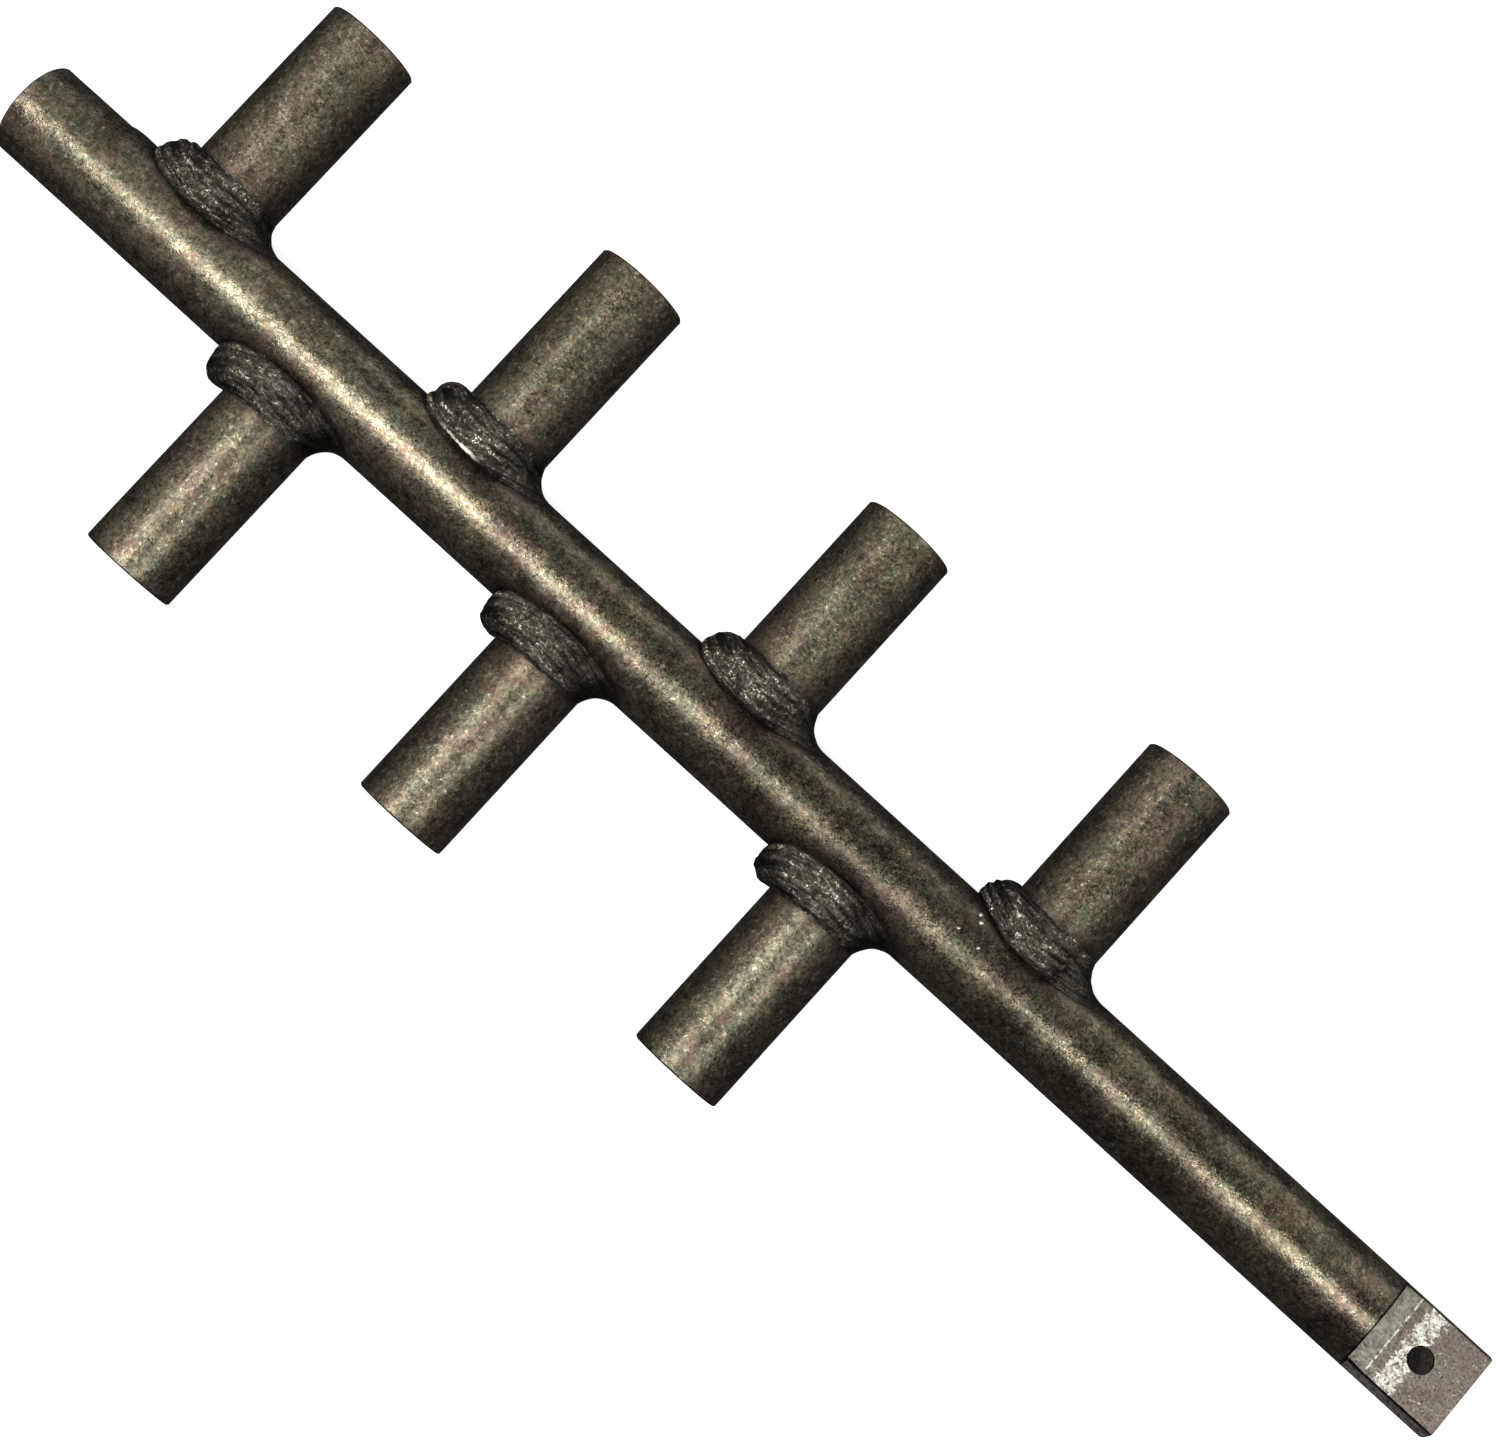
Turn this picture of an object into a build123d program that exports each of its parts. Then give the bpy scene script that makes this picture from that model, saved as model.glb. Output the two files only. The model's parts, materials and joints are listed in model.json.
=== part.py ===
"""Welded gas burner: a straight main tube with seven open port tubes.

Millimetres and degrees. +X runs along the main tube from its open inlet to
the mounting tab, the port tubes lie along +Y and -Y, and +Z is the side that
the milled face of the tab looks towards. The origin is the centre of the
inlet's mouth, on the main tube's axis.
"""

from build123d import *
from math import cos, radians, sin, sqrt
import os

# Main tube
tube_diameter = 25.4
tube_wall = 2.0
tube_length = 461.0
rim_break = 0.4

# Port tubes, which alternate between the +Y and the -Y side of the main tube
port_count = 7
port_diameter = 25.4
port_wall = 2.8
first_port = 50.0
port_spacing = 44.6
port_reach = 67.5
short_port = 5
short_port_trim = 2.0
ear_drop = 4.7

# Fillet welds round the port tubes: their legs along the main tube and up the
# port, how far they stand out in front, how far down the main tube's crown
# they reach there, and how thick they still are where they end on the port
weld_run = 8.0
weld_rise = 6.3
weld_crown = 1.4
weld_front_drop = 5.3
weld_shoulder_drop = 3.2
weld_bury = 1.0
weld_waist_run = 0.28
weld_waist_rise = 0.56
weld_shift = 1.2
weld_toe_edge = 0.3

# Lump where each weld was started, on the inlet's side of the port
lump_diameter = 10.4
lump_beyond_port = 1.8
lump_above_tube = 2.0

# Weld spatter, small balls on the main tube beside one port: distance from the
# port's wall towards the inlet, degrees round the main tube from the port,
# and diameter
spatter_port = 7
spatter_balls = [
    (3.2, 50, 1.2),
    (1.9, 58, 1.4),
    (5.1, 79, 0.9),
    (-1.4, 81, 1.1),
    (-6.1, 99, 1.0),
]
spatter_sink = 0.25

# Mounting tab, milled across the plugged end of the main tube
plug_length = 40.0
plug_seat_step = 0.5
tab_length = 21.5
tab_face_height = 5.9
tab_roll = 6.0
ramp_length = 5.1
ramp_rise = 0.5
shoulder_lean = 1.3
bolt_hole_diameter = 6.8
bolt_hole_from_end = 13.0

# Sizes that follow from the ones above
tube_radius = tube_diameter / 2
tube_bore_radius = tube_radius - tube_wall
port_radius = port_diameter / 2
port_bore_radius = port_radius - port_wall
plug_radius = tube_bore_radius + plug_seat_step
plug_face = tube_length - plug_length
ear_height = tube_radius - ear_drop
cut_margin = 5.0

os.makedirs("parts", exist_ok=True)


def write(piece, name):
    """Label a finished piece and write it as the STEP file of its node."""
    piece.label = name
    export_step(piece, f"parts/{name}.step")


def port_side(number):
    """+1 for a port on the +Y side, -1 for one on the -Y side."""
    return 1 if number % 2 else -1


def port_station(number):
    """Distance of a port tube's axis from the inlet."""
    return first_port + (number - 1) * port_spacing


def port_plane(number, height=0.0):
    """Plane across a port tube, its normal pointing out along the port."""
    side = port_side(number)
    origin = (port_station(number), side * height, 0)
    return Plane(origin=origin, x_dir=(1, 0, 0), z_dir=(0, side, 0))


def port_end(number):
    """Distance from the main tube's axis to the port tube's open end."""
    trim = short_port_trim if number == short_port else 0.0
    return port_reach - trim


# The tab's face is rolled about the main tube, towards the +Y row of ports
roll = radians(tab_roll)
face_up = (0, sin(roll), cos(roll))
bolt_station = tube_length - bolt_hole_from_end
tab_section = Plane(origin=(0, 0, 0), x_dir=(1, 0, 0), z_dir=(0, -cos(roll), sin(roll)))
bolt_plane = Plane(origin=(bolt_station, 0, 0), x_dir=(1, 0, 0), z_dir=face_up)


def milling_cut():
    """Everything that the cutter takes off above the tab's face."""
    ramp_foot = tube_length - tab_length
    shoulder = ramp_foot - ramp_length
    wall_height = tube_radius - tab_face_height - ramp_rise
    lean_per_mm = shoulder_lean / wall_height
    top = tube_radius + cut_margin
    shoulder_top = shoulder - lean_per_mm * (top - tab_face_height - ramp_rise)
    with BuildPart(mode=Mode.PRIVATE) as cut:
        with BuildSketch(tab_section):
            with BuildLine():
                Polyline(
                    (tube_length + cut_margin, tab_face_height),
                    (ramp_foot, tab_face_height),
                    (shoulder, tab_face_height + ramp_rise),
                    (shoulder_top, top),
                    (tube_length + cut_margin, top),
                    close=True,
                )
            make_face()
        extrude(amount=tube_radius + cut_margin, both=True)
    return cut.part


tab_cut = milling_cut()

# Main tube: open at the inlet, bored out at the other end to seat the plug,
# with a hole of the port's own bore under each port
with BuildPart() as manifold_tube:
    with BuildSketch(Plane.YZ):
        Circle(tube_radius)
        Circle(tube_bore_radius, mode=Mode.SUBTRACT)
    extrude(amount=tube_length)
    inlet_rims = manifold_tube.edges().filter_by(GeomType.CIRCLE).group_by(Axis.X)[0]
    chamfer(inlet_rims, length=rim_break)
    with BuildSketch(Plane.YZ.offset(plug_face)):
        Circle(plug_radius)
    extrude(amount=plug_length, mode=Mode.SUBTRACT)
    for number in range(1, port_count + 1):
        with BuildSketch(port_plane(number)):
            Circle(port_bore_radius)
        extrude(amount=tube_radius + cut_margin, mode=Mode.SUBTRACT)
    with BuildSketch(bolt_plane):
        Circle(bolt_hole_diameter / 2)
    extrude(amount=tube_radius + cut_margin, both=True, mode=Mode.SUBTRACT)
    add(tab_cut, mode=Mode.SUBTRACT)
write(manifold_tube.part, "manifold_tube")

# Solid plug driven into the tab end of the main tube and milled with it
with BuildPart() as end_plug:
    with BuildSketch(Plane.YZ.offset(plug_face)):
        Circle(plug_radius)
    extrude(amount=plug_length)
    with BuildSketch(bolt_plane):
        Circle(bolt_hole_diameter / 2)
    extrude(amount=tube_radius + cut_margin, both=True, mode=Mode.SUBTRACT)
    add(tab_cut, mode=Mode.SUBTRACT)
write(end_plug.part, "end_plug")

# Solid rod of the main tube's size, which the ports and welds are fitted to
with BuildPart() as tube_rod:
    with BuildSketch(Plane.YZ):
        Circle(tube_radius)
    extrude(amount=tube_length)

# Port tubes: fish-mouthed to sit on the main tube, the ears' thin tips cut off
for number in range(1, port_count + 1):
    with BuildPart() as port_tube:
        with BuildSketch(port_plane(number, ear_height)):
            Circle(port_radius)
            Circle(port_bore_radius, mode=Mode.SUBTRACT)
        extrude(amount=port_end(number) - ear_height)
        end_rims = port_tube.edges().filter_by(GeomType.CIRCLE).group_by(Axis.Y)
        chamfer(end_rims[-1] if port_side(number) > 0 else end_rims[0], length=rim_break)
        add(tube_rod.part, mode=Mode.SUBTRACT)
    write(port_tube.part, f"port_tube_{number}")

# Cross-sections of a weld: height above the main tube's axis, half its length
# along the main tube, and half its width across it
front_toe_height = tube_radius - weld_front_drop
front_toe_width = sqrt(tube_radius**2 - front_toe_height**2)
side_length = port_radius + weld_run
crown_width = port_radius + weld_crown
waist_length = port_radius + weld_waist_run * weld_run
waist_height = tube_radius + weld_waist_rise * weld_rise
top_size = port_radius + weld_toe_edge
weld_sections = [
    (front_toe_height - weld_bury, side_length - weld_bury, front_toe_width - weld_bury),
    (tube_radius - weld_shoulder_drop, side_length, crown_width - weld_bury),
    (tube_radius, side_length, crown_width),
    (waist_height, waist_length, crown_width - weld_toe_edge),
    (tube_radius + weld_rise, top_size, top_size),
]

# Fillet welds: a collar that fills the joint, with the lump where it started
for number in range(1, port_count + 1):
    with BuildPart() as port_weld:
        for height, half_length, half_width in weld_sections:
            shift = weld_shift * (half_length - port_radius) / weld_run
            with BuildSketch(port_plane(number, height)):
                with Locations((shift, 0)):
                    Ellipse(half_length, half_width)
        loft()
        with Locations(port_plane(number, tube_radius + lump_above_tube)):
            with Locations((-port_radius - lump_beyond_port, 0, 0)):
                Sphere(lump_diameter / 2)
        add(tube_rod.part, mode=Mode.SUBTRACT)
        with BuildSketch(port_plane(number, ear_height)):
            Circle(port_radius)
        extrude(amount=port_reach, mode=Mode.SUBTRACT)
    write(port_weld.part, f"port_weld_{number}")

# Weld spatter: separate balls that froze onto the main tube
with BuildPart() as weld_spatter:
    for beyond_port, turn, diameter in spatter_balls:
        station = port_station(spatter_port) - port_radius - beyond_port
        reach = tube_radius + diameter / 2 - spatter_sink
        across = port_side(spatter_port) * reach * cos(radians(turn))
        with Locations((station, across, reach * sin(radians(turn)))):
            Sphere(diameter / 2)
    add(tube_rod.part, mode=Mode.SUBTRACT)
write(weld_spatter.part, "weld_spatter")
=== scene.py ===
"""Looks for the welded gas burner: materials, weld beads, studio."""

import json
import math

import bpy
from mathutils import Matrix, Vector, noise


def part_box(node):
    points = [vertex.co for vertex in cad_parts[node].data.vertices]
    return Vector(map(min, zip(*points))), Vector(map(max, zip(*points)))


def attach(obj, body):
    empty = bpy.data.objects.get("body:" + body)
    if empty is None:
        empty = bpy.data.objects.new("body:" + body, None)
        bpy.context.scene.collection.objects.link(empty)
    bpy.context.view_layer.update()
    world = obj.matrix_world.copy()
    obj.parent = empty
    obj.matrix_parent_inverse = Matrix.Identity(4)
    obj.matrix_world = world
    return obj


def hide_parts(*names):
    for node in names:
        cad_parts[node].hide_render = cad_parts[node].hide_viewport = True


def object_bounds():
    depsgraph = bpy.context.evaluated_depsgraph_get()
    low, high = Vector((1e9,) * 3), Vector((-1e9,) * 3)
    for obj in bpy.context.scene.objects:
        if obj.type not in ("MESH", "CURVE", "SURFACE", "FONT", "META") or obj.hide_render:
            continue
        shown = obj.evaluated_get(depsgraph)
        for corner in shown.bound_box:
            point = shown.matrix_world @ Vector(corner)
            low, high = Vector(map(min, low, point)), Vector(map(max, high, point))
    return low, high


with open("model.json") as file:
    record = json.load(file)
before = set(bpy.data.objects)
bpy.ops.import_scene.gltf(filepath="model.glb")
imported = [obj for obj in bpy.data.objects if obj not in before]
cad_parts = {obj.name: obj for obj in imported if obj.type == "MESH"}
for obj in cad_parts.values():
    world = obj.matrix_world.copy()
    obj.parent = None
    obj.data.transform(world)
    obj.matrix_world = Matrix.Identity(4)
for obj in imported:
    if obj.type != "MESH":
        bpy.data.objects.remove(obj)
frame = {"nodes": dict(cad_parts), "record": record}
cad_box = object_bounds()

MM = 0.001
PORT_LIMIT = 60

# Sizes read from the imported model; EAR_HEIGHT is how low the ears of a port's
# fish-mouthed end reach
TUBE_LOW, TUBE_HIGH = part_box("manifold_tube")
TUBE_LENGTH = TUBE_HIGH.x - TUBE_LOW.x
TUBE_RADIUS = TUBE_HIGH.y
MOUNTS = {m["name"]: m for m in frame["record"]["mounts"]}
PORT_NUMBERS = [n for n in range(1, PORT_LIMIT) if f"port_tube_{n}" in frame["nodes"]]
STATION = {n: MOUNTS[f"port_{n}_outlet"]["pos_m"][0] for n in PORT_NUMBERS}
SIDE = {n: MOUNTS[f"port_{n}_outlet"]["axis"][1] for n in PORT_NUMBERS}
PORT_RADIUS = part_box("port_tube_1")[1].z
EAR_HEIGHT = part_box("port_tube_1")[0].y
WELD_TOP = {n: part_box(f"port_weld_{n}")[1].z for n in PORT_NUMBERS}
FACE_UP = Vector(MOUNTS["tab_face"]["axis"])
FACE_HEIGHT = Vector(MOUNTS["tab_face"]["pos_m"]).dot(FACE_UP)
HOLE_X = MOUNTS["tab_hole"]["pos_m"][0]

# The tab: its flat, the ramp behind the flat, and the wall the ramp ends at
FLAT_LENGTH = 21.5 * MM
RAMP_LENGTH = 5.1 * MM
RAMP_RISE = 0.5 * MM
SHOULDER_LEAN = 1.3 * MM
TAB_FOOT = TUBE_LENGTH - FLAT_LENGTH
TAB_SHOULDER = TAB_FOOT - RAMP_LENGTH
RAMP_TOP = FACE_HEIGHT + RAMP_RISE
# How far before the bolt hole, towards the shoulder, the painted highlight band on the flat is
# centred
BAND_OFFSET = 3.0 * MM

# Where scorch marks and painted shade follow the beads: along and across the main tube, and up
# the ports
BEAD_HALF_X = TUBE_RADIUS + 7.8 * MM
BEAD_HALF_Z = 10.4 * MM
BEAD_HEAD = TUBE_RADIUS + 6.0 * MM
TOE_POWER = 2.8

# The beads' texture, in millimetres: round the port, and from toe to toe
LAP_RADIUS = 15.0
HALF_LAP = math.pi * LAP_RADIUS
ROW_STEP = 0.22

# One bead has a painted highlight along the ridge of its lower toe; its place in the texture
ARC_PORT = 3
ARC_MIDDLE = 28.0
ARC_RISE = 2.5


# ---------------------------------------------------------------- node helpers

class Shader:
    """A material and short calls that add nodes to it."""

    def __init__(self, name):
        self.material = bpy.data.materials.new(name)
        self.material.use_nodes = True
        self.tree = self.material.node_tree
        self.surface = self.tree.nodes["Principled BSDF"]

    def node(self, kind, inputs=None, **settings):
        """Add a node, set its properties, and link or set its inputs."""
        made = self.tree.nodes.new("ShaderNode" + kind)
        for key, value in settings.items():
            setattr(made, key, value)
        for key, value in (inputs or {}).items():
            self.feed(made.inputs[key], value)
        return made

    def feed(self, socket, value):
        """Link a socket to another node's output, or give it a plain value."""
        if isinstance(value, bpy.types.NodeSocket):
            self.tree.links.new(value, socket)
        elif isinstance(value, bpy.types.Node):
            self.tree.links.new(value.outputs[0], socket)
        else:
            socket.default_value = value

    def math(self, operation, a, b=0.0, clamp=False):
        """Do one sum on two values."""
        return self.node("Math", {0: a, 1: b}, operation=operation, use_clamp=clamp).outputs[0]

    def gap(self, a, b):
        """How far apart two values are."""
        return self.math("ABSOLUTE", self.math("SUBTRACT", a, b))

    def place(self):
        """The x, y and z object coordinates, in metres."""
        spot = self.node("TexCoord").outputs["Object"]
        return self.node("SeparateXYZ", {0: spot}).outputs

    def face_share(self, vector):
        """How far a vector reaches in the direction the tab's face looks."""
        made = self.node("VectorMath", {0: vector, 1: tuple(FACE_UP)}, operation="DOT_PRODUCT")
        return made.outputs["Value"]

    def coords(self, scale=(1, 1, 1)):
        """Object coordinates in millimetres, stretched by scale."""
        spot = self.node("TexCoord").outputs["Object"]
        stretch = tuple(s / MM for s in scale)
        return self.node("Mapping", {"Vector": spot, "Scale": stretch}).outputs[0]

    def noise(self, size, detail=3.0, rough=0.55, scale=(1, 1, 1), warp=0.0, offset=0.0):
        """Noise from 0 to 1 whose features are about size millimetres wide."""
        made = self.node("TexNoise", {
            "Vector": self.coords(scale), "Scale": 1 / size, "Detail": detail,
            "Roughness": rough, "Distortion": warp, "W": offset,
        }, noise_dimensions="4D")
        return made.outputs["Fac"]

    def lap_noise(self, lap, squeeze, detail, rough, warp):
        """Noise on a bead's own coordinates, squeezed along and across the bead."""
        spread = self.node("Mapping", {"Vector": lap, "Scale": (*squeeze, 1)})
        made = self.node("TexNoise", {
            "Vector": spread, "Scale": 1.0, "Detail": detail,
            "Roughness": rough, "Distortion": warp,
        })
        return made.outputs["Fac"]

    def ramp(self, value, *stops):
        """Colour ramp with (position, colour) stops; a number is a grey."""
        made = self.node("ValToRGB", {"Fac": value})
        band = made.color_ramp
        while len(band.elements) < len(stops):
            band.elements.new(0.5)
        for element, (spot, colour) in zip(band.elements, stops):
            element.position = spot
            grey = isinstance(colour, (int, float))
            element.color = (colour, colour, colour, 1) if grey else (*colour, 1)
        return made.outputs["Color"]

    def span(self, value, low, high, out_low=0.0, out_high=1.0):
        """Map a range of a value onto another range, clamped and smooth."""
        made = self.node("MapRange", {
            "Value": value, "From Min": low, "From Max": high,
            "To Min": out_low, "To Max": out_high,
        }, interpolation_type="SMOOTHSTEP")
        return made.outputs[0]

    def mix(self, share, a, b, blend="MIX"):
        """Mix two colours."""
        made = self.node("Mix", data_type="RGBA", blend_type=blend)
        self.feed(made.inputs[0], share)
        for socket, value in ((made.inputs[6], a), (made.inputs[7], b)):
            colour = value if isinstance(value, bpy.types.NodeSocket) else (*value, 1)
            self.feed(socket, colour)
        return made.outputs[2]

    def times(self, colour, *shades):
        """Multiply a colour by grey values, one after the other."""
        for shade in shades:
            colour = self.mix(1.0, colour, self.ramp(shade, (0, 0.0), (1, 1.0)), "MULTIPLY")
        return colour

    def blend(self, share, a, b, vector=False):
        """Mix two plain values, or two vectors."""
        made = self.node("Mix", data_type="VECTOR" if vector else "FLOAT")
        first, second = (4, 5) if vector else (2, 3)
        for socket, value in ((0, share), (first, a), (second, b)):
            self.feed(made.inputs[socket], value)
        return made.outputs[1 if vector else 0]

    def bump(self, height, depth_mm, strength=1.0, below=None):
        """A bump whose full height is depth_mm, on top of another bump."""
        inputs = {"Height": height, "Distance": depth_mm * MM, "Strength": strength}
        if below is not None:
            inputs["Normal"] = below
        return self.node("Bump", inputs).outputs[0]

    def finish(self, colour, roughness, normal, metallic):
        """Link the look to the surface and give the material back."""
        self.feed(self.surface.inputs["Base Color"], colour)
        self.feed(self.surface.inputs["Roughness"], roughness)
        self.feed(self.surface.inputs["Normal"], normal)
        self.feed(self.surface.inputs["Metallic"], metallic)
        return self.material


# ----------------------------------------------------------------- tube steel

def port_scorch_and_shade(shader):
    """Wide heat tint, partly painted shade, and a narrow line of painted shade above the bead
    on a port, each from 0 to 1.
    """
    out = shader.math("ABSOLUTE", shader.place()[1])
    beyond = shader.math("SUBTRACT", out, BEAD_HEAD)
    tint = shader.span(beyond, 0.0, 5 * MM, 1.0, 0.0)
    line = shader.span(beyond, 0.5 * MM, 1.6 * MM, 0.6, 0.0)
    return tint, line


def tube_scorch_and_shade(shader):
    """Wide heat tint, partly painted shade, and a narrow line of painted shade round the
    beads' toes on the main tube, each from 0 to 1.
    """
    place = shader.place()
    across = shader.math("ABSOLUTE", shader.math("DIVIDE", place[2], BEAD_HALF_Z))
    across = shader.math("POWER", across, TOE_POWER)
    tint, line = 0.0, 0.0
    for number in PORT_NUMBERS:
        along = shader.math("SUBTRACT", place[0], STATION[number])
        along = shader.math("ABSOLUTE", shader.math("DIVIDE", along, BEAD_HALF_X))
        along = shader.math("POWER", along, TOE_POWER)
        beyond = shader.math("ADD", along, across)
        facing = shader.span(shader.math("MULTIPLY", place[1], SIDE[number]), 0.0, 3 * MM)
        tint_here = shader.math("MULTIPLY", shader.span(beyond, 1.0, 2.1, 1.0, 0.0), facing)
        line_here = shader.math("MULTIPLY", shader.span(beyond, 1.05, 1.35, 1.0, 0.0), facing)
        tint = shader.math("MAXIMUM", tint, tint_here)
        line = shader.math("MAXIMUM", line, line_here)
    return tint, line


def old_steel(shader, seed, along, on_port):
    """Colour, roughness and normal of dark mottled tube; along stretches the draw lines."""
    clouds = shader.noise(14.0, 4.0, 0.6, warp=0.6, offset=seed)
    shade = shader.noise(18.0, 3.0, 0.6, warp=0.5, offset=seed + 17)
    patches = shader.noise(4.0, 4.0, 0.65, warp=0.8, offset=seed + 1)
    speckle = shader.noise(1.15, 4.0, 0.75, offset=seed + 3)
    grain = shader.noise(0.5, 2.0, 0.6, offset=seed + 5)
    lines = shader.noise(0.8, 2.0, 0.5, scale=along, offset=seed + 7)
    stains = shader.noise(6.0, 4.0, 0.7, warp=1.2, offset=seed + 11)
    waves = shader.noise(2.6, 3.0, 0.6, offset=seed + 13)
    brightest = 0.80 if on_port else 1.0
    smoothest = 0.33 if on_port else 0.27

    colour = shader.ramp(
        clouds,
        (0.30, (0.175, 0.122, 0.088)),
        (0.41, (0.238, 0.200, 0.126)),
        (0.49, (0.196, 0.188, 0.128)),
        (0.55, (0.262, 0.214, 0.140)),
        (0.63, (0.220, 0.166, 0.126)),
        (0.74, (0.290, 0.262, 0.178)),
    )
    colour = shader.times(
        colour,
        shader.span(shade, 0.36, 0.60, 0.58, brightest),
        shader.span(patches, 0.34, 0.60, 0.55, 1.0),
        shader.span(speckle, 0.38, 0.53, 0.45, 1.0),
        shader.span(grain, 0.36, 0.54, 0.50, 1.0),
    )
    light_spots = shader.span(speckle, 0.57, 0.66, 0.0, 0.55)
    colour = shader.mix(light_spots, colour, (0.50, 0.45, 0.32))
    rust = shader.span(stains, 0.56, 0.70, 0.0, 0.6)
    colour = shader.mix(rust, colour, (0.125, 0.066, 0.054))
    # Darker round the beads: heat tint mixed with painted shade, and a narrow line of painted
    # shade where the beads meet the tube
    tint, line = port_scorch_and_shade(shader) if on_port else tube_scorch_and_shade(shader)
    burnt_and_shaded = shader.math("MULTIPLY", tint, shader.span(patches, 0.3, 0.6, 0.95, 0.35))
    colour = shader.mix(burnt_and_shaded, colour, (0.070, 0.046, 0.036))
    colour = shader.mix(shader.math("MULTIPLY", line, 0.6), colour, (0.016, 0.013, 0.010))

    wear = shader.span(grain, 0.35, 0.7, -0.07, 0.10)
    patch = shader.span(stains, 0.35, 0.65, smoothest, smoothest + 0.10)
    roughness = shader.math("ADD", patch, wear, clamp=True)

    normal = shader.bump(waves, 0.10, 0.6)
    normal = shader.bump(lines, 0.02, 0.4, normal)
    normal = shader.bump(speckle, 0.11, 0.9, normal)
    normal = shader.bump(grain, 0.05, 0.9, normal)
    return colour, roughness, normal


def highlight_band(shader, along, chips):
    """Where a painted highlight lies on the flat beside the bolt hole, broken up by pits."""
    from_middle = shader.gap(along, HOLE_X - BAND_OFFSET)
    painted_light = shader.span(from_middle, 1.5 * MM, 4.5 * MM, 0.16, 0.0)
    return shader.span(shader.math("ADD", chips, painted_light), 0.60, 0.68)


def ramp_colour(shader, speckle, chips, scratches):
    """Brushed grey of the ramp behind the flat."""
    colour = shader.ramp(
        shader.noise(2.2, 4.0, 0.7, warp=0.6, offset=8),
        (0.40, (0.24, 0.215, 0.17)),
        (0.52, (0.38, 0.365, 0.30)),
        (0.62, (0.46, 0.44, 0.37)),
    )
    return shader.times(
        colour,
        shader.span(chips, 0.36, 0.46, 0.35, 1.0),
        shader.span(scratches, 0.38, 0.55, 0.70, 1.0),
        shader.span(speckle, 0.33, 0.45, 0.6, 1.0),
    )


def milled_steel(shader, along):
    """Colour, roughness and normal of the tab's milled flat and its ramp, with a painted
    highlight band and painted glints on the flat, and painted glints and shade along the
    ramp's foot.
    """
    clouds = shader.noise(5.0, 4.0, 0.6, warp=0.8)
    speckle = shader.noise(0.9, 3.0, 0.7, offset=2)
    chips = shader.noise(1.3, 5.0, 0.8, warp=0.5, offset=6)
    sparks = shader.noise(0.55, 2.0, 0.6, offset=9)
    scratches = shader.noise(0.5, 3.0, 0.6, scale=(0.12, 1, 1), offset=4)

    colour = shader.ramp(
        clouds,
        (0.35, (0.26, 0.205, 0.165)),
        (0.50, (0.34, 0.285, 0.235)),
        (0.62, (0.29, 0.275, 0.215)),
        (0.75, (0.40, 0.36, 0.29)),
    )
    colour = shader.times(
        colour,
        shader.span(speckle, 0.38, 0.52, 0.40, 1.0),
        shader.span(sparks, 0.36, 0.44, 0.55, 1.0),
    )
    on_ramp = shader.span(along, TAB_FOOT - 0.1 * MM, TAB_FOOT + 0.1 * MM, 1.0, 0.0)
    # Painted highlight band and painted glints on the flat, kept off the ramp
    painted_glints = shader.span(sparks, 0.66, 0.72, 0.0, 0.8)
    bright = shader.math("MAXIMUM", highlight_band(shader, along, chips), painted_glints)
    bright = shader.math("MULTIPLY", bright, shader.math("SUBTRACT", 1.0, on_ramp))
    colour = shader.mix(bright, colour, (0.98, 0.95, 0.83))
    colour = shader.mix(on_ramp, colour, ramp_colour(shader, speckle, chips, scratches))

    # Painted glints and painted shade along the crease at the ramp's foot
    foot_line = shader.span(shader.gap(along, TAB_FOOT), 0.15 * MM, 0.35 * MM, 1.0, 0.0)
    foot_colour = shader.ramp(
        chips,
        (0.44, (0.10, 0.085, 0.07)),
        (0.54, (0.95, 0.92, 0.80)),
    )
    colour = shader.mix(foot_line, colour, foot_colour)

    roughness = shader.span(speckle, 0.3, 0.7, 0.48, 0.28)
    normal = shader.bump(scratches, 0.03, 0.6)
    normal = shader.bump(speckle, 0.10, 0.9, normal)
    return colour, roughness, normal


def tab_edges(shader, along):
    """Where painted shade darkens the crease at the shoulder and the tab's long edges, and
    where its flanks are.
    """
    height = shader.face_share(shader.node("TexCoord").outputs["Object"])
    lean = SHOULDER_LEAN / (TUBE_RADIUS - RAMP_TOP)
    risen = shader.math("SUBTRACT", height, RAMP_TOP)
    from_wall = shader.math("SUBTRACT", TAB_SHOULDER, shader.math("MULTIPLY", risen, lean))
    from_wall = shader.math("SUBTRACT", from_wall, along)
    wall = shader.span(from_wall, 0.35 * MM, 0.6 * MM, 1.0, 0.0)
    wall = shader.math("MULTIPLY", wall, shader.span(from_wall, -0.3 * MM, -0.2 * MM))
    below = shader.math("SUBTRACT", FACE_HEIGHT, height)
    past_wall = shader.span(along, TAB_SHOULDER, TAB_SHOULDER + 1 * MM)
    side = shader.math("MULTIPLY", shader.span(below, 0.5 * MM, 0.9 * MM, 1.0, 0.0), past_wall)
    flank = shader.math("MULTIPLY", shader.span(below, 0.9 * MM, 1.3 * MM), past_wall)
    return shader.math("MAXIMUM", wall, side), flank


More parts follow.
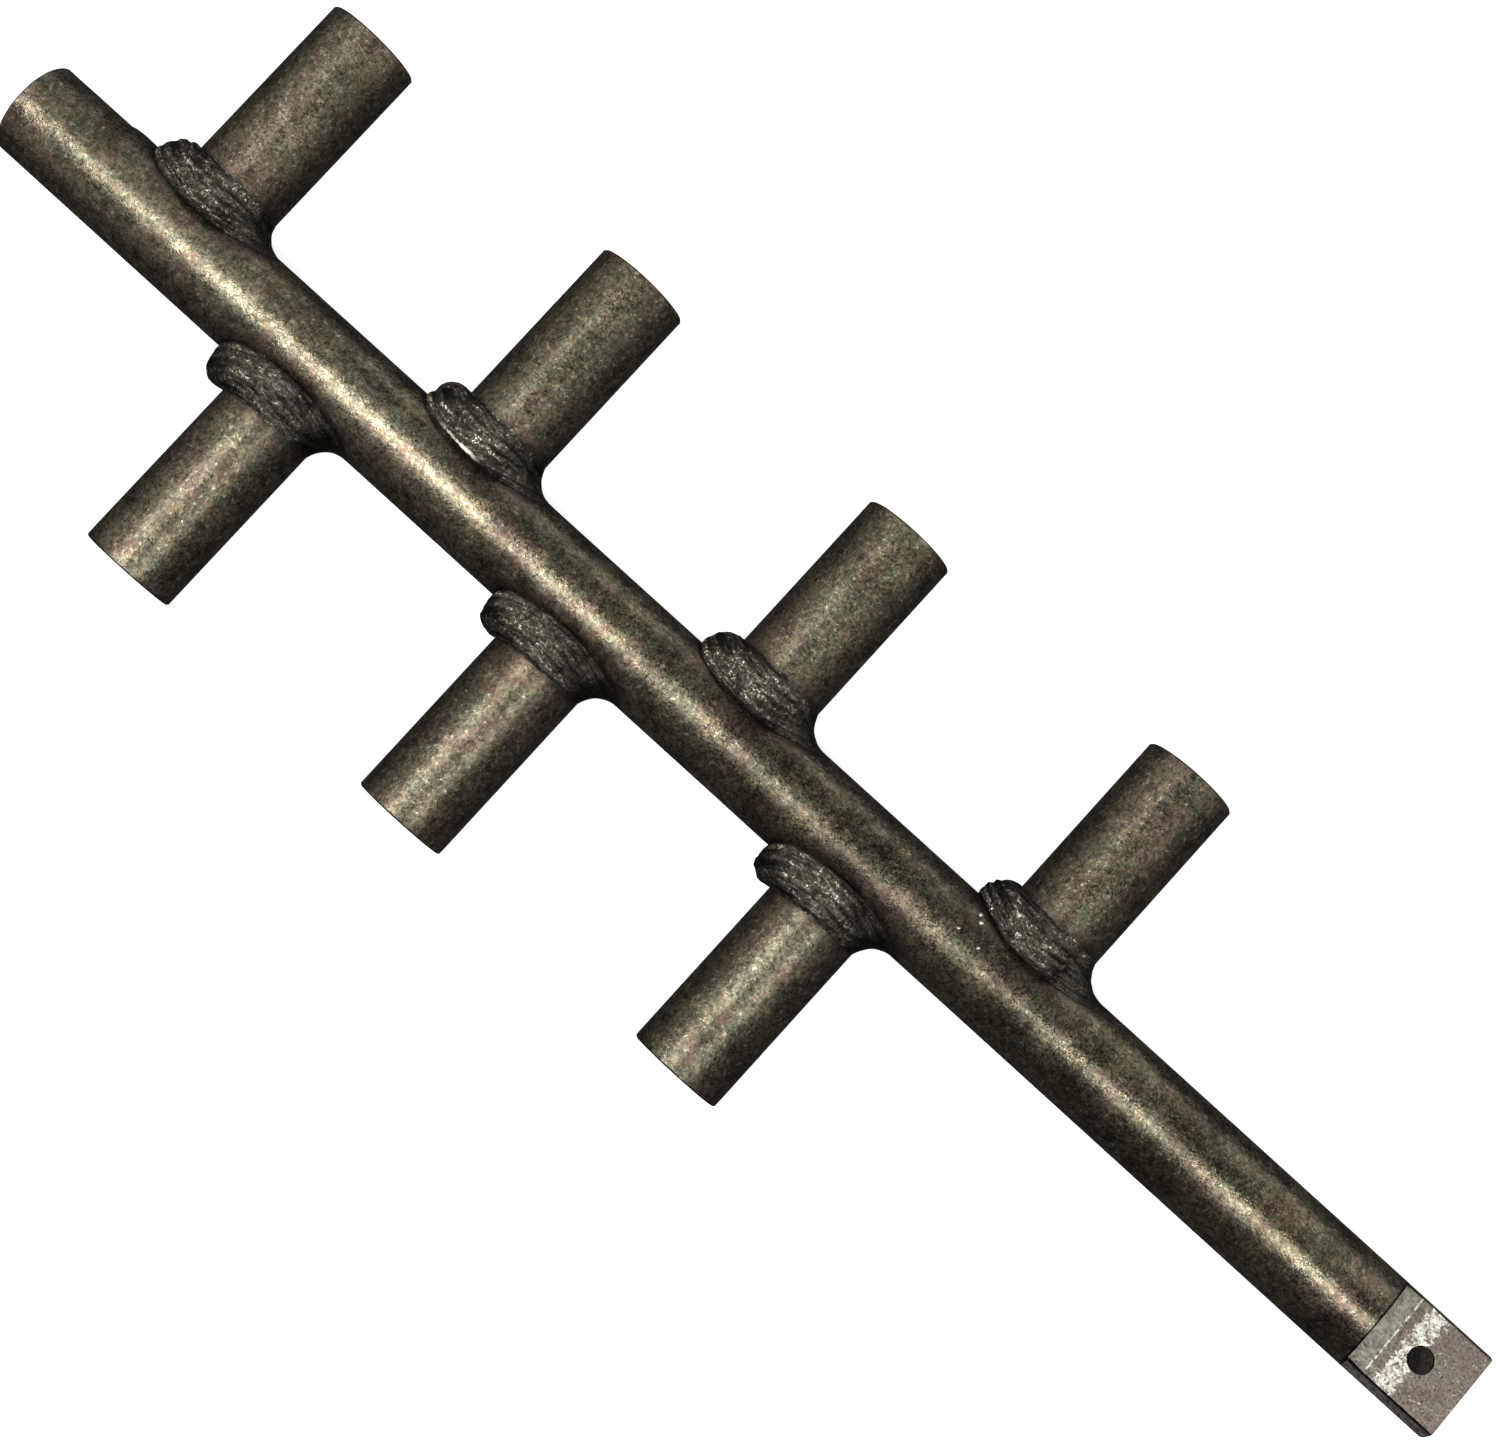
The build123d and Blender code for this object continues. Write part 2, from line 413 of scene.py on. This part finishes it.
def add_milled_tab(shader, look, seed):
    """Put the tab's milled face, its edges darkened with painted shade and its flanks
    lightened with painted light on top of old steel.
    """
    colour, roughness, normal = look
    along = shader.place()[0]
    edge_shade, flank = tab_edges(shader, along)
    # Painted light on the flanks below the face, mottled
    painted_light = shader.ramp(
        shader.noise(1.2, 4.0, 0.7, offset=seed + 19),
        (0.38, (0.14, 0.12, 0.10)),
        (0.55, (0.62, 0.54, 0.48)),
    )
    colour = shader.mix(flank, colour, painted_light)
    # Painted shade along the shoulder's crease and the tab's long edges
    colour = shader.mix(edge_shade, colour, (0.010, 0.008, 0.007))

    facing = shader.face_share(shader.node("NewGeometry").outputs["Normal"])
    cut = shader.math("MULTIPLY", shader.span(facing, 0.975, 0.985),
                      shader.span(along, TAB_SHOULDER - 1 * MM, TAB_SHOULDER))
    fresh = milled_steel(shader, along)
    colour = shader.mix(cut, colour, fresh[0])
    roughness = shader.blend(cut, roughness, fresh[1])
    normal = shader.blend(cut, normal, fresh[2], vector=True)
    return colour, roughness, normal


def tube_material(name, seed, along, on_port=False, milled=False):
    """Old tube steel, fresh where the tab's face was milled if milled is set."""
    shader = Shader(name)
    look = old_steel(shader, seed, along, on_port)
    if milled:
        look = add_milled_tab(shader, look, seed)
    return shader.finish(*look, metallic=0.9)


# ----------------------------------------------------------------- weld metal

def arc_highlight(shader, lap):
    """Where a painted highlight lies along the ridge of a bead's lower toe, on its front."""
    spot = shader.node("SeparateXYZ", {0: lap}).outputs
    near = shader.span(shader.gap(spot[0], ARC_MIDDLE), 2.5, 8.0, 1.0, 0.0)
    wander = shader.span(shader.noise(1.2, 3.0, 0.6), 0.4, 0.7, 0.0, 0.5)
    across = shader.math("ADD", shader.gap(spot[1], ARC_RISE), wander)
    return shader.math("MULTIPLY", near, shader.span(across, 0.35, 0.75, 1.0, 0.0))


def glints(shader, bright, turned, clouds, laps, streaks, grit):
    """Where painted glints shine on the bead's grit, from 0 to 1: on the streaks, away from
    the +X end.
    """
    glint = shader.span(grit, 0.51, 0.58)
    shares = (
        shader.span(streaks, 0.48, 0.58, 0.03, 1.0),
        shader.span(laps, 0.44, 0.54),
        shader.span(turned, 6.0, 20.0, 0.05, bright),
        shader.span(clouds, 0.44, 0.56, 0.15, 1.0),
    )
    for share in shares:
        glint = shader.math("MULTIPLY", glint, share)
    return glint


def weld_material(name, seed, bright, arc=False):
    """Oxidised weld: dark, granular, streaked along the bead.

    bright is how much painted glint it carries, and how little painted shade darkens its +X
    end; arc adds the painted highlight along the lower toe.
    """
    shader = Shader(name)
    lap = shader.node("UVMap", uv_map="bead").outputs[0]
    turned = shader.node("SeparateXYZ", {0: lap}).outputs[0]
    turned = shader.math("PINGPONG", turned, HALF_LAP)
    clouds = shader.noise(4.5, 4.0, 0.65, warp=0.8, offset=seed)
    laps = shader.lap_noise(lap, (0.05, 0.62), 3.0, 0.6, 0.4)
    streaks = shader.lap_noise(lap, (0.38, 1.5), 4.0, 0.7, 0.5)
    grit = shader.noise(0.75, 4.0, 0.75, offset=seed + 2)
    grain = shader.noise(0.35, 2.0, 0.6, offset=seed + 4)

    colour = shader.ramp(
        clouds,
        (0.30, (0.030, 0.025, 0.020)),
        (0.45, (0.082, 0.076, 0.052)),
        (0.56, (0.125, 0.116, 0.084)),
        (0.70, (0.062, 0.048, 0.040)),
    )
    colour = shader.times(
        colour,
        # Painted shade: darker at the hollow +X end, darker still on the dull beads
        shader.span(turned, 4.0, 18.0, 0.5 * bright, 1.0),
        shader.span(turned, 28.0, 44.0, 1.0, 0.70),
        shader.span(laps, 0.40, 0.50, 0.30, 1.0),
        shader.span(streaks, 0.38, 0.56, 0.45, 1.0),
        shader.span(grit, 0.38, 0.52, 0.35, 1.0),
    )
    glint = glints(shader, bright, turned, clouds, laps, streaks, grit)
    # Painted glints
    colour = shader.mix(glint, colour, (1.0, 0.95, 0.74))
    if arc:
        colour = shader.mix(arc_highlight(shader, lap), colour, (0.95, 0.92, 0.76))

    roughness = shader.span(grit, 0.4, 0.6, 0.50, 0.24)
    normal = shader.bump(laps, 0.6, 1.0)
    normal = shader.bump(streaks, 0.25, 1.0, normal)
    normal = shader.bump(grit, 0.3, 1.0, normal)
    normal = shader.bump(grain, 0.1, 1.0, normal)
    return shader.finish(colour, roughness, normal, metallic=0.85)


def spatter_material():
    """Small drops thrown from the weld: bright grey, a little pitted."""
    shader = Shader("spatter_metal")
    pits = shader.noise(0.5, 3.0, 0.6)
    colour = shader.ramp(pits, (0.40, (0.30, 0.28, 0.23)), (0.60, (0.75, 0.71, 0.60)))
    roughness = shader.span(pits, 0.3, 0.7, 0.45, 0.30)
    return shader.finish(colour, roughness, shader.bump(pits, 0.05, 0.8), metallic=0.9)


# ----------------------------------------------------------------- weld beads

# Points of a bead's mesh round the port, and from one toe to the other
AROUND = 384
ACROSS = 56

# How deep a bead's toes and its closed back lie in the tubes
BURY = 0.5 * MM
WALL_TUCK = 1.2 * MM
TOP_MARGIN = 0.05 * MM

# The shape under the relief
TOE_WANDER = 0.5 * MM
FOOT_RUN = 6.7 * MM
FOOT_RUN_MORE = 2.2 * MM
HEAD_RUN = 6.0 * MM
HEAD_RUN_MORE = 1.0 * MM
CROWN = 1.9
CROWN_HOLLOW = 4.0
PLAIN_LUMP = 1.2
LEAN_LEAST = 0.12
LEAN_MORE = 0.9
SKIN = 0.85 * MM

# The relief on the beads, heights in millimetres
PASS_HEIGHT = 0.20
RIPPLES_ROUND = 62
RIPPLE_HEIGHT = 0.10
LUMP_HEIGHT = 0.34
STREAK_HEIGHT = 0.22
GRIT_HEIGHT = 0.20
BUBBLE_RADIUS = 0.62
BUBBLE_RIM = 0.32
BUBBLE_PIT = 0.40
BEAD_WIDTH = 12.0

# Points of a drop's mesh
DROP_RING = 48
DROP_RINGS = 24


class Bead:
    """How one bead was laid. Lengths are in millimetres.

    lump is how far the start of the bead swells out and lump_turn how far
    round the port it reaches, in radians. passes is how many runs of weld lie
    side by side, ridge the height of the ridge along the lower toe and grain
    how rough the bead is. balls are drops (x, y, z, radius, stretch along the
    tube) from the port's axis, bubbles are pores (x, y) on the front. blunt
    holds how square the toe is at the start and at the end.
    """

    def __init__(self, lump, lump_turn, passes, ridge, grain,
                 balls=(), bubbles=(), blunt=(4.0, 2.3)):
        self.lump = lump
        self.lump_turn = lump_turn
        self.passes = passes
        self.ridge = ridge
        self.grain = grain
        self.balls = balls
        self.bubbles = bubbles
        self.blunt = blunt


BEADS = {
    1: Bead(1.5, 0.7, 3.2, 0.10, 1.2,
            balls=[(-16.6, 17.9, 0.5, 1.5, 1), (-24.5, 12.5, -1.5, 0.9, 6.5)]),
    2: Bead(3.4, 0.9, 1.6, 0.35, 0.6),
    3: Bead(1.2, 0.5, 1.5, 0.70, 1.0, balls=[(-14.7, 15.2, -1.0, 5.2, 1)]),
    4: Bead(2.8, 0.8, 2.0, 0.45, 0.8),
    5: Bead(1.6, 0.6, 2.2, 0.30, 1.0, balls=[(-13.9, 15.2, -0.8, 4.8, 1)]),
    6: Bead(3.0, 0.8, 2.6, 0.55, 0.8,
            bubbles=[(-1.5, 10.5), (-0.5, 13.4), (2.2, 11.2), (3.0, 13.2), (4.7, 12.1)]),
    7: Bead(1.9, 0.7, 4.0, 0.25, 1.1, balls=[(-13.2, 16.4, -0.4, 4.6, 1)], blunt=(2.2, 3.6)),
}


def bead_of(number):
    """The bead at a port; a port without its own gets the first one's."""
    return BEADS.get(number) or BEADS[1]


def signed_noise(x, y, z, seed):
    """Smooth noise of about -1 to 1."""
    return noise.noise(Vector((x + seed * 7.31, y + seed * 3.17, z + seed)))


def ease(value, low, high):
    """0 below low, 1 above high, smooth between."""
    share = max(0.0, min(1.0, (value - low) / (high - low)))
    return share * share * (3 - 2 * share)


def hill(value, middle, width):
    """1 at the middle, falling off to both sides over the width."""
    return math.exp(-((value - middle) / width) ** 2)


def reach_of_tubes(point, out, port_share):
    """How far along out the surface of the main tube or the port tube lies."""
    far = 0.0
    circles = (
        (point.y, out.y, TUBE_RADIUS, 1.0),
        (point.x, out.x, PORT_RADIUS, port_share),
    )
    for place, lean, radius, share in circles:
        square = lean**2 + out.z**2
        half = place * lean + point.z * out.z
        free = half**2 - square * (place**2 + point.z**2 - radius**2)
        if free > 0 and square > 0:
            far = max(far, share * (math.sqrt(free) - half) / square)
    return far


def bead_toes(bead, number, turn):
    """Where the bead ends on the main tube and on the port tube."""
    c, s = math.cos(turn), math.sin(turn)
    back = 0.5 - 0.5 * c
    wander = signed_noise(2 * c, 2 * s, 0, number) * TOE_WANDER

    # On the main tube: a rounded box seen along the port, as square as blunt says
    at_start, at_end = bead.blunt
    power = at_end + (at_start - at_end) * back**1.5
    half_x = TUBE_RADIUS + FOOT_RUN + FOOT_RUN_MORE * (1 - back)
    reach = (abs(c / half_x) ** power + abs(s / BEAD_HALF_Z) ** power) ** (-1 / power)
    reach += 0.5 * wander
    most_z = 0.95 * TUBE_RADIUS
    z = max(-most_z, min(most_z, reach * s))
    foot = Vector((reach * c, math.sqrt(TUBE_RADIUS**2 - z * z), z))

    # On the port: a ring, higher at the start of the bead
    rise = TUBE_RADIUS + HEAD_RUN + HEAD_RUN_MORE * back + wander
    head = Vector((PORT_RADIUS * c, rise, PORT_RADIUS * s))
    return foot, head


def bubble_height(bead, point):
    """Height of the raised rims and the pits of the bead's pores, in millimetres."""
    height = 0.0
    for x, y in bead.bubbles:
        away = math.hypot(point.x / MM - x, point.y / MM - y)
        height += BUBBLE_RIM * hill(away, BUBBLE_RADIUS, 0.2)
        height -= BUBBLE_PIT * hill(away, 0.0, 0.4)
    return height


def bead_relief(bead, number, turn, t, point):
    """Height of passes, ripples, ridge and lumps on the bead, in metres."""
    c, s = math.cos(turn), math.sin(turn)
    across = t * BEAD_WIDTH
    round_x, round_z = c * LAP_RADIUS, s * LAP_RADIUS
    drift = signed_noise(round_x / 7, round_z / 7, across / 7, number + 20)
    streak = signed_noise(round_x / 4, round_z / 4, across / 0.75, number + 30)
    lumps = signed_noise(round_x / 3, round_z / 3, across / 3, number + 40)
    grit = signed_noise(round_x / 0.9, round_z / 0.9, across / 0.9, number + 60)

    groove = math.cos(2 * math.pi * (bead.passes * t + 0.35 * drift))
    # Ripples lag behind towards both toes, and wander
    chevron = turn * RIPPLES_ROUND + 2.6 * (2 * t - 1) ** 2 + 2.5 * drift
    ripple = abs(math.sin(chevron / 2)) - 0.6
    ridge = hill(t, 0.10, 0.06) * ease(abs(s), 0.2, 0.6)

    height = PASS_HEIGHT * groove + RIPPLE_HEIGHT * ripple + LUMP_HEIGHT * lumps
    height += bead.grain * (STREAK_HEIGHT * streak + GRIT_HEIGHT * grit)
    height += bead.ridge * ridge * (0.7 + 0.5 * drift)
    if s > 0:
        height += bubble_height(bead, point)
    return height * MM


def bead_section(bead, number, turn):
    """One closed section of the bead, at an angle round the port."""
    limit = WELD_TOP[number] - TOP_MARGIN
    c, s = math.cos(turn), math.sin(turn)
    foot, head = bead_toes(bead, number, turn)
    along = (head - foot).normalized()
    # The bead leans up the port most where it fills the corner, at its two ends
    out = Vector((c, LEAN_MORE * abs(c) + LEAN_LEAST, s))
    out = (out - out.dot(along) * along).normalized()

    # The front and the back follow the tubes; the +X end is hollow
    front = ease(abs(s), 0.2, 0.65)
    hollow = ease(c, 0.3, 0.95)
    start = hill(turn, math.pi, bead.lump_turn)
    swell = (CROWN - CROWN_HOLLOW * hollow + (bead.lump - PLAIN_LUMP) * start) * MM
    skin = SKIN * (1 - 0.5 * hollow)
    points = []
    for j in range(ACROSS + 1):
        t = 0.5 - 0.5 * math.cos(math.pi * j / ACROSS)
        chord = foot.lerp(head, t)
        port_share = ease(chord.y, foot.y - 0.1 * MM, EAR_HEIGHT - 0.1 * MM)
        if foot.y > EAR_HEIGHT - 0.2 * MM:
            port_share = 1.0
        base = reach_of_tubes(chord, out, port_share)
        arch = (4 * t * (1 - t)) ** (0.75 if swell > 0 else 1.0)
        edge = (1 - abs(2 * t - 1) ** 4) ** 0.8
        crown = swell * arch
        covered = max(crown, base + skin * edge)
        height = crown + (covered - crown) * front
        tip = min(t, 1 - t)
        relief = bead_relief(bead, number, turn, t, chord) * ease(tip, 0.0, 0.06)
        height += relief * (1 - 0.85 * hollow)
        height -= BURY * (1 - ease(tip, 0.0, 0.015))
        point = chord + out * height
        point.z = max(-limit, min(limit, point.z))
        points.append(point)

    # The section closes inside the tubes' walls
    inner = PORT_RADIUS - WALL_TUCK
    saddle = math.sqrt(max(0.0, TUBE_RADIUS**2 - (inner * s) ** 2))
    points.append(head - Vector((c, 0, s)) * WALL_TUCK)
    points.append(Vector((inner * c, max(EAR_HEIGHT + 1 * MM, saddle), inner * s)))
    points.append(foot - Vector((0, foot.y, foot.z)).normalized() * WALL_TUCK)
    return points


def bead_shell(number):
    """Vertices, faces and texture coordinates of a bead."""
    turns = [2 * math.pi * i / AROUND for i in range(AROUND)]
    sections = [bead_section(bead_of(number), number, turn) for turn in turns]
    vertices = [point for section in sections for point in section]
    ring = len(sections[0])
    lap = 2 * math.pi * LAP_RADIUS / AROUND
    faces, coords = [], []
    for i in range(AROUND):
        a, b = i * ring, (i + 1) % AROUND * ring
        left, right = i * lap, (i + 1) * lap
        for j in range(ring):
            k = (j + 1) % ring
            low, high = j * ROW_STEP, (j + 1) * ROW_STEP
            faces.append((a + j, b + j, b + k, a + k))
            coords.append(((left, low), (right, low), (right, high), (left, high)))
    return vertices, faces, coords


def drop_shell(number, centre, radius, stretch):
    """Vertices and faces of a lumpy drop of weld metal, drawn out along the tube."""
    vertices = []
    for k in range(DROP_RINGS + 1):
        tilt = math.pi * k / DROP_RINGS
        for i in range(DROP_RING):
            turn = 2 * math.pi * i / DROP_RING
            flat = math.sin(tilt)
            way = Vector((flat * math.cos(turn), math.cos(tilt), flat * math.sin(turn)))
            rough = 1 + 0.05 * signed_noise(*(way * 1.6), number + 5)
            rough += 0.02 * signed_noise(*(way * 6), number)
            way.x *= stretch
            vertices.append(centre + way * radius * rough)
    faces = []
    for k in range(DROP_RINGS):
        a, b = k * DROP_RING, (k + 1) * DROP_RING
        for i in range(DROP_RING):
            j = (i + 1) % DROP_RING
            faces.append((a + i, b + i, b + j, a + j))
    return vertices, faces


def bead_mesh(number):
    """Mesh of one bead and its drops, at its port's place and side."""
    vertices, faces, coords = bead_shell(number)
    for x, y, z, radius, stretch in bead_of(number).balls:
        centre = Vector((x, y, z)) * MM
        more, links = drop_shell(number, centre, radius * MM, stretch)
        first = len(vertices)
        vertices += more
        for link in links:
            corners = [first + v for v in link]
            faces.append(tuple(corners))
            coords.append(tuple((vertices[v].x / MM, vertices[v].z / MM) for v in corners))
    station, side = STATION[number], SIDE[number]
    mesh = bpy.data.meshes.new(f"bead_{number}")
    mesh.from_pydata([(station + v.x, side * v.y, v.z) for v in vertices], [], faces)
    layer = mesh.uv_layers.new(name="bead")
    layer.data.foreach_set("uv", [value for face in coords for pair in face for value in pair])
    if side < 0:
        mesh.flip_normals()
    mesh.update()
    mesh.shade_smooth()
    return mesh


def build_weld(number, material):
    """One bead, standing for the CAD weld at the same port."""
    bead = bpy.data.objects.new(f"weld_bead_{number}", bead_mesh(number))
    bpy.context.scene.collection.objects.link(bead)
    bead.data.materials.append(material)
    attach(bead, "root")
    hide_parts(f"port_weld_{number}")


# --------------------------------------------------------------------- studio

# A painted shadow on the floor under the bolt hole: where it starts and stops fading out,
# along and across the tube
PATCH_FADE_X = (7 * MM, 10 * MM)
PATCH_FADE_Y = (5 * MM, 8 * MM)
FLOOR_REACH = 6.0

# Strip lamps above the tube: name, place, target, size along and across, power
STRIPS = [
    ("strip_left", (-0.12, -0.20, 1.0), (0.08, 0, 0), (0.36, 0.06), 8.4),
    ("strip_right", (0.70, -0.20, 1.0), (0.43, 0, 0), (0.14, 0.06), 5.0),
]
# Softboxes, which all face the middle of the tube: name, place, size, power
SOFTBOXES = [
    ("upper_left", (-0.75, 0.80, 0.6), (0.9, 0.9), 2.4),
    ("upper_right", (1.20, 0.80, 0.6), (0.9, 0.9), 7.0),
    ("upper", (0.23, 1.25, 0.30), (1.4, 0.40), 3.0),
    ("inlet_end", (-1.10, 0.00, 0.6), (0.9, 0.9), 1.8),
    ("lower_left", (-0.60, -0.90, 0.6), (0.9, 0.9), 1.4),
    ("above_left", (-0.50, 0.50, 1.1), (0.6, 0.6), 1.6),
    ("above_inlet", (-0.65, 0.00, 1.1), (0.5, 0.5), 0.8),
]
SKY_STRENGTH = 0.03

CAMERA_PLACE = Vector((0.584 * TUBE_LENGTH, -0.0352, 0.6466))
CAMERA_TARGET = Vector((0.523 * TUBE_LENGTH, 0.0076, 0))
CAMERA_LENS = 64.8
CAMERA_SHIFT = (-0.025, 0.018)
TUBE_ANGLE = math.radians(42.3)


def paint(node, material):
    """Give a CAD node its material."""
    slots = frame["nodes"][node].data.materials
    slots.clear()
    slots.append(material)


def floor_material():
    """Pale paper that glows a little, with a painted shadow under the bolt hole."""
    shader = Shader("pale_floor")
    place = shader.place()
    shade_x = shader.span(shader.gap(place[0], HOLE_X), *PATCH_FADE_X, 1.0, 0.0)
    shade_y = shader.span(shader.math("ABSOLUTE", place[1]), *PATCH_FADE_Y, 1.0, 0.0)
    shade = shader.math("MULTIPLY", shade_x, shade_y)
    colour = shader.mix(shade, (0.55, 0.55, 0.55), (0.02, 0.018, 0.025))
    surface = shader.surface
    surface.inputs["Roughness"].default_value = 1.0
    surface.inputs["Specular IOR Level"].default_value = 0.0
    surface.inputs["Emission Color"].default_value = (1, 1, 1, 1)
    shader.feed(surface.inputs["Base Color"], colour)
    shader.feed(surface.inputs["Emission Strength"], shader.span(shade, 0.0, 1.0, 0.85, 0.006))
    return shader.material


def build_floor():
    """Pale floor under the burner, left out of its reflections."""
    low = cad_box[0][2]
    signs = ((-1, -1), (1, -1), (1, 1), (-1, 1))
    corners = [(x * FLOOR_REACH, y * FLOOR_REACH, low) for x, y in signs]
    mesh = bpy.data.meshes.new("floor")
    mesh.from_pydata(corners, [], [(0, 1, 2, 3)])
    floor = bpy.data.objects.new("floor", mesh)
    bpy.context.scene.collection.objects.link(floor)
    floor.data.materials.append(floor_material())
    floor.visible_glossy = False


def area_light(name, place, target, size, power):
    """A rectangular lamp at place that faces target."""
    data = bpy.data.lights.new(name, "AREA")
    data.shape = "RECTANGLE"
    data.size, data.size_y = size
    data.energy = power
    lamp = bpy.data.objects.new(name, data)
    bpy.context.scene.collection.objects.link(lamp)
    lamp.location = place
    aim = Vector(target) - Vector(place)
    lamp.rotation_euler = aim.to_track_quat("-Z", "Y").to_euler()
    lamp.visible_camera = False


def build_lights():
    """The lamps and a faint grey sky."""
    middle = (TUBE_LENGTH / 2, 0, 0)
    for name, place, target, size, power in STRIPS:
        area_light(name, place, target, size, power)
    for name, place, size, power in SOFTBOXES:
        area_light(name, place, middle, size, power)
    world = bpy.data.worlds.new("studio")
    bpy.context.scene.world = world
    world.use_nodes = True
    sky = world.node_tree.nodes["Background"]
    sky.inputs["Color"].default_value = (0.9, 0.9, 0.9, 1)
    sky.inputs["Strength"].default_value = SKY_STRENGTH


def build_camera():
    """A view nearly straight down, with the tube running down to the right."""
    forward = (CAMERA_TARGET - CAMERA_PLACE).normalized()
    level = Vector((math.cos(TUBE_ANGLE), math.sin(TUBE_ANGLE), 0))
    right = (level - level.dot(forward) * forward).normalized()
    up = right.cross(forward)
    data = bpy.data.cameras.new("camera")
    data.sensor_width = 36
    data.lens = CAMERA_LENS
    data.shift_x, data.shift_y = CAMERA_SHIFT
    camera = bpy.data.objects.new("camera", data)
    bpy.context.scene.collection.objects.link(camera)
    turn = Matrix((right, up, -forward)).transposed().to_4x4()
    camera.matrix_world = Matrix.Translation(CAMERA_PLACE) @ turn
    bpy.context.scene.camera = camera


# ------------------------------------------------------------------- assembly

# How the draw lines stretch: along the main tube, and along the ports
along_tube, along_port = (0.06, 1, 1), (1, 0.06, 1)
port_steel = tube_material("port_tube_steel", 4.0, along_port, on_port=True)
# The two rows of beads differ in seed and in how much painted glint and painted shade they
# carry
bead_steel = {
    1: weld_material("bright_bead_metal", 1.0, 1.0),
    -1: weld_material("dull_bead_metal", 6.0, 0.6),
}
arc_steel = weld_material("arc_bead_metal", 1.0, 1.0, arc=True)

paint("manifold_tube", tube_material("main_tube_steel", 0.0, along_tube, milled=True))
paint("end_plug", tube_material("end_plug_steel", 2.0, along_tube, milled=True))
paint("weld_spatter", spatter_material())
for port in PORT_NUMBERS:
    paint(f"port_tube_{port}", port_steel)
    build_weld(port, arc_steel if port == ARC_PORT else bead_steel[SIDE[port]])

build_floor()
build_lights()
build_camera()
bpy.context.scene.view_settings.view_transform = "Standard"
